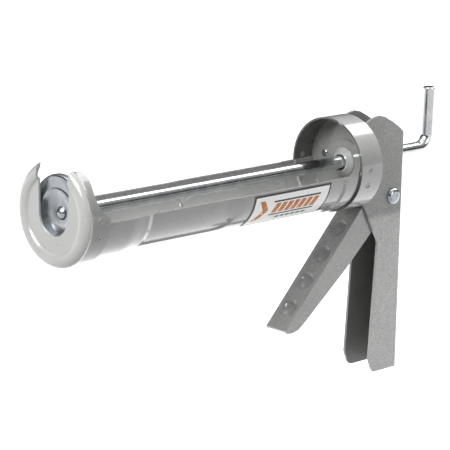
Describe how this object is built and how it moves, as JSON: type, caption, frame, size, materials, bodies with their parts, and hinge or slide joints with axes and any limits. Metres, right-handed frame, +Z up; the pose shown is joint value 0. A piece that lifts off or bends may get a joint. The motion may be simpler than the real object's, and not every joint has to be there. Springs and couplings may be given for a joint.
{
  "type": "caulking gun",
  "caption": "Half-barrel caulking gun: stamped steel cradle with slotted nose plate, ratchet rod with hook and plunger, U-channel handle and squeeze trigger.",
  "frame": {"origin": "on the rod's axis, at the front face of the rear plate, where the cartridge's tail seats", "axes": "+X runs back along the rod towards its hook, +Z up, away from the handle, and the nose plate is at -X"},
  "size_m": [0.3135, 0.0596, 0.1762],
  "materials": {
    "barrel_enamel": "glossy silver-grey enamel",
    "handle_enamel": "satin grey enamel with fine orange peel",
    "bright_zinc": "bright zinc plate",
    "rod_steel": "bright drawn and plated steel",
    "plain_steel": "oiled steel",
    "spring_steel": "spring steel wire",
    "label_film": "glossy printed film"
  },
  "bodies": {
    "frame": {"cradle": "barrel_enamel", "nose_plate": "barrel_enamel", "nose_spot_welds": "barrel_enamel", "rear_collar": "barrel_enamel", "collar_spot_welds": "barrel_enamel", "rear_plate": "barrel_enamel", "backing_plate": "barrel_enamel", "rod_bushing": "bright_zinc", "handle": "handle_enamel", "handle_rivets": "bright_zinc", "pivot_rivet": "bright_zinc", "pivot_spacer": "plain_steel", "trigger_spring": "spring_steel", "rod_brake_leaf": "spring_steel", "leaf_rivet": "bright_zinc", "label": "label_film"},
    "trigger": {"trigger": "handle_enamel", "pawl_pin": "plain_steel", "pawl_spring": "spring_steel"},
    "pawl": {"pawl": "plain_steel"},
    "plunger": {"plunger_disc": "bright_zinc", "plunger_washer": "bright_zinc"},
    "rod": {"ratchet_rod": "rod_steel", "rod_end_button": "bright_zinc"}
  },
  "joints": [
    {"name": "trigger_pull", "type": "hinge", "parent": "frame", "child": "trigger", "pos_m": [0.0336, 0, -0.0244], "axis": [0, -1, 0], "range_deg": [0, 40], "stiffness_Nm_per_rad": 0.1, "springref_deg": -34.38, "deforming": ["trigger_spring"]},
    {"name": "pawl_turn", "type": "hinge", "parent": "trigger", "child": "pawl", "pos_m": [0.0377, 0, -0.01312], "axis": [0, -1, 0], "range_deg": [-40, 0], "deforming": ["pawl_spring"]},
    {"name": "rod_slide", "type": "slide", "parent": "frame", "child": "plunger", "axis": [1, 0, 0], "range_m": [0, 0.208]},
    {"name": "rod_turn", "type": "hinge", "parent": "plunger", "child": "rod", "pos_m": [0, 0, 0], "axis": [1, 0, 0], "continuous": true}
  ],
  "couplings": [
    {"joint": "pawl_turn", "follows": "trigger_pull", "ratio": -1}
  ]
}
